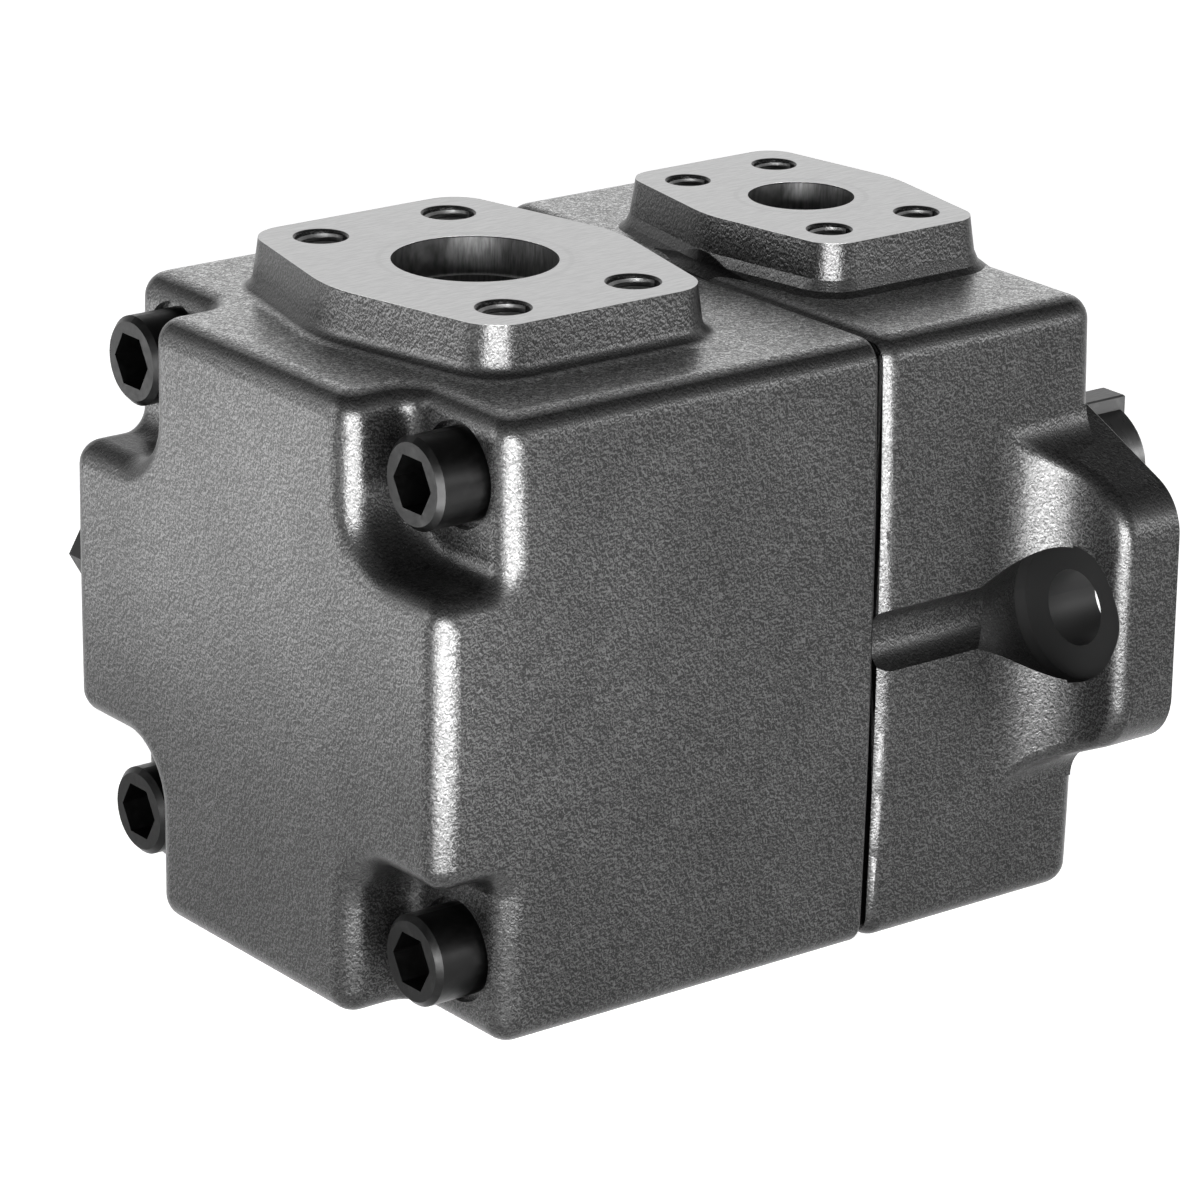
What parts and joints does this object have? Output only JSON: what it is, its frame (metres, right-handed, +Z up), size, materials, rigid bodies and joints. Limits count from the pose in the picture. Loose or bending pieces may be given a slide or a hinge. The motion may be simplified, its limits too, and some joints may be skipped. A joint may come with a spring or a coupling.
{
  "type": "hydraulic vane pump",
  "caption": "Fixed-displacement vane pump with flanged suction and discharge ports on top, a pilot mounting flange with two ears and a keyed shaft.",
  "frame": {"origin": "centre of the mounting face on the shaft axis", "axes": "+X along the shaft towards the drive end, +Z up to the port faces"},
  "size_m": [0.26, 0.197, 0.157],
  "materials": {
    "cast_iron": "dark satin cast skin, machined port faces",
    "black_steel": "black oxide, oiled",
    "steel": "ground steel",
    "key_steel": "drawn steel",
    "seal_metal": "pressed steel",
    "rubber": "smooth black rubber",
    "bronze": "turned bronze"
  },
  "bodies": {
    "base": {"rear_housing": "cast_iron", "front_housing": "cast_iron", "housing_bolts": "black_steel", "housing_seal_ring": "rubber", "bearing_outer_ring": "steel", "housing_circlip": "steel", "seal_case": "seal_metal", "seal_lip": "rubber", "seal_garter_spring": "steel", "rear_bush": "bronze", "rear_side_plate": "steel", "front_side_plate": "steel", "neck_seal_ring": "rubber", "cam_ring": "steel", "cartridge_screws": "black_steel", "dowel_pins": "steel", "side_plug": "black_steel", "plug_seal": "bronze"},
    "shaft": {"drive_shaft": "steel", "shaft_key": "key_steel", "rotor": "steel", "bearing_inner_ring": "steel", "shaft_circlip": "steel"},
    "cage": {"bearing_cage": "bronze", "bearing_balls": "steel"},
    "vane_01_body": {"vane_01": "steel"},
    "vane_02_body": {"vane_02": "steel"},
    "vane_03_body": {"vane_03": "steel"},
    "vane_04_body": {"vane_04": "steel"},
    "vane_05_body": {"vane_05": "steel"},
    "vane_06_body": {"vane_06": "steel"},
    "vane_07_body": {"vane_07": "steel"},
    "vane_08_body": {"vane_08": "steel"},
    "vane_09_body": {"vane_09": "steel"},
    "vane_10_body": {"vane_10": "steel"},
    "vane_11_body": {"vane_11": "steel"},
    "vane_12_body": {"vane_12": "steel"}
  },
  "joints": [
    {"name": "shaft_spin", "type": "hinge", "parent": "base", "child": "shaft", "pos_m": [0, 0, 0], "axis": [1, 0, 0], "continuous": true},
    {"name": "cage_spin", "type": "hinge", "parent": "base", "child": "cage", "pos_m": [-0.02, 0, 0], "axis": [1, 0, 0], "continuous": true},
    {"name": "vane_01_slide", "type": "slide", "parent": "shaft", "child": "vane_01_body", "axis": [0, 0, 1], "range_m": [0, 0.0004]},
    {"name": "vane_02_slide", "type": "slide", "parent": "shaft", "child": "vane_02_body", "axis": [0, -0.5, 0.866], "range_m": [0, 0.0012]},
    {"name": "vane_03_slide", "type": "slide", "parent": "shaft", "child": "vane_03_body", "axis": [0, -0.866, 0.5], "range_m": [0, 0.0012]},
    {"name": "vane_04_slide", "type": "slide", "parent": "shaft", "child": "vane_04_body", "axis": [0, -1, 0], "range_m": [0, 0.0004]},
    {"name": "vane_05_slide", "type": "slide", "parent": "shaft", "child": "vane_05_body", "axis": [0, -0.866, -0.5], "range_m": [0, 0.0012]},
    {"name": "vane_06_slide", "type": "slide", "parent": "shaft", "child": "vane_06_body", "axis": [0, -0.5, -0.866], "range_m": [0, 0.0012]},
    {"name": "vane_07_slide", "type": "slide", "parent": "shaft", "child": "vane_07_body", "axis": [0, 0, -1], "range_m": [0, 0.0004]},
    {"name": "vane_08_slide", "type": "slide", "parent": "shaft", "child": "vane_08_body", "axis": [0, 0.5, -0.866], "range_m": [0, 0.0012]},
    {"name": "vane_09_slide", "type": "slide", "parent": "shaft", "child": "vane_09_body", "axis": [0, 0.866, -0.5], "range_m": [0, 0.0012]},
    {"name": "vane_10_slide", "type": "slide", "parent": "shaft", "child": "vane_10_body", "axis": [0, 1, 0], "range_m": [0, 0.0004]},
    {"name": "vane_11_slide", "type": "slide", "parent": "shaft", "child": "vane_11_body", "axis": [0, 0.866, 0.5], "range_m": [0, 0.0012]},
    {"name": "vane_12_slide", "type": "slide", "parent": "shaft", "child": "vane_12_body", "axis": [0, 0.5, 0.866], "range_m": [0, 0.0012]}
  ],
  "couplings": [
    {"joint": "cage_spin", "follows": "shaft_spin", "ratio": 0.39647}
  ]
}
